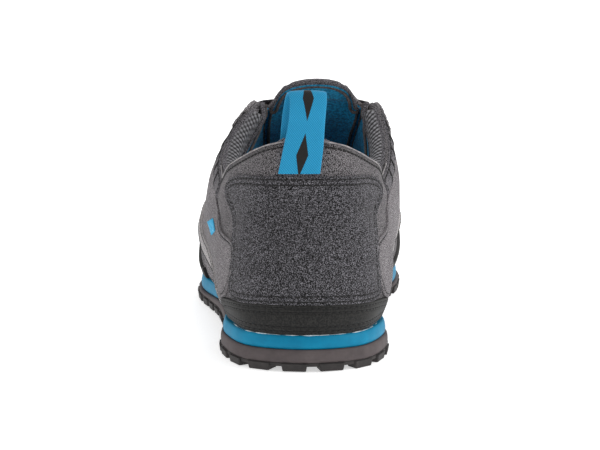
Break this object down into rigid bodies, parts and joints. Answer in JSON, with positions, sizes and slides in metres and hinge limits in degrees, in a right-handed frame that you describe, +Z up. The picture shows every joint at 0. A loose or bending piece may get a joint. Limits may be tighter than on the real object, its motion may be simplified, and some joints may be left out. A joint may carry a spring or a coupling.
{
  "type": "approach shoe",
  "caption": "Low grey suede approach shoe for the left foot, with layered blue foam sole, lugged rubber outsole, laced throat and a webbing pull loop at the heel.",
  "frame": {"origin": "under the middle of the whole shoe, on the floor it stands on", "axes": "+Y from the heel to the toe, +X to the wearer's right (the inner side of this left shoe), +Z up"},
  "size_m": [0.1024, 0.2846, 0.1201],
  "materials": {
    "outsole": "matt black rubber",
    "midsole_lower": "matt grey-brown EVA foam",
    "midsole_upper": "satin blue EVA foam",
    "insole": "dark footbed cloth",
    "upper": "grey suede with a soft nap",
    "collar_padding": "coarse grey air mesh",
    "tongue": "grey suede over padding",
    "counter": "darker grey suede",
    "heel_cap": "smooth dark leather",
    "toe_rand": "matt black rubber",
    "side_panel_lateral": "grey suede",
    "side_panel_medial": "grey suede",
    "eyestay_lateral": "grey suede",
    "eyestay_medial": "grey suede",
    "laces": "flat woven lace",
    "pull_loop": "blue woven webbing",
    "eyelet": "satin black"
  },
  "bodies": {
    "root": {"collar_padding": "collar_padding", "counter": "counter", "eyelet_lateral_1": "eyelet", "eyelet_lateral_2": "eyelet", "eyelet_lateral_3": "eyelet", "eyelet_lateral_4": "eyelet", "eyelet_lateral_5": "eyelet", "eyelet_medial_1": "eyelet", "eyelet_medial_2": "eyelet", "eyelet_medial_3": "eyelet", "eyelet_medial_4": "eyelet", "eyelet_medial_5": "eyelet", "eyestay_lateral": "eyestay_lateral", "eyestay_medial": "eyestay_medial", "heel_cap": "heel_cap", "insole": "insole", "laces": "laces", "midsole_lower": "midsole_lower", "midsole_upper": "midsole_upper", "outsole": "outsole", "pull_loop": "pull_loop", "side_panel_lateral": "side_panel_lateral", "side_panel_medial": "side_panel_medial", "toe_rand": "toe_rand", "tongue": "tongue", "upper": "upper"}
  },
  "joints": []
}
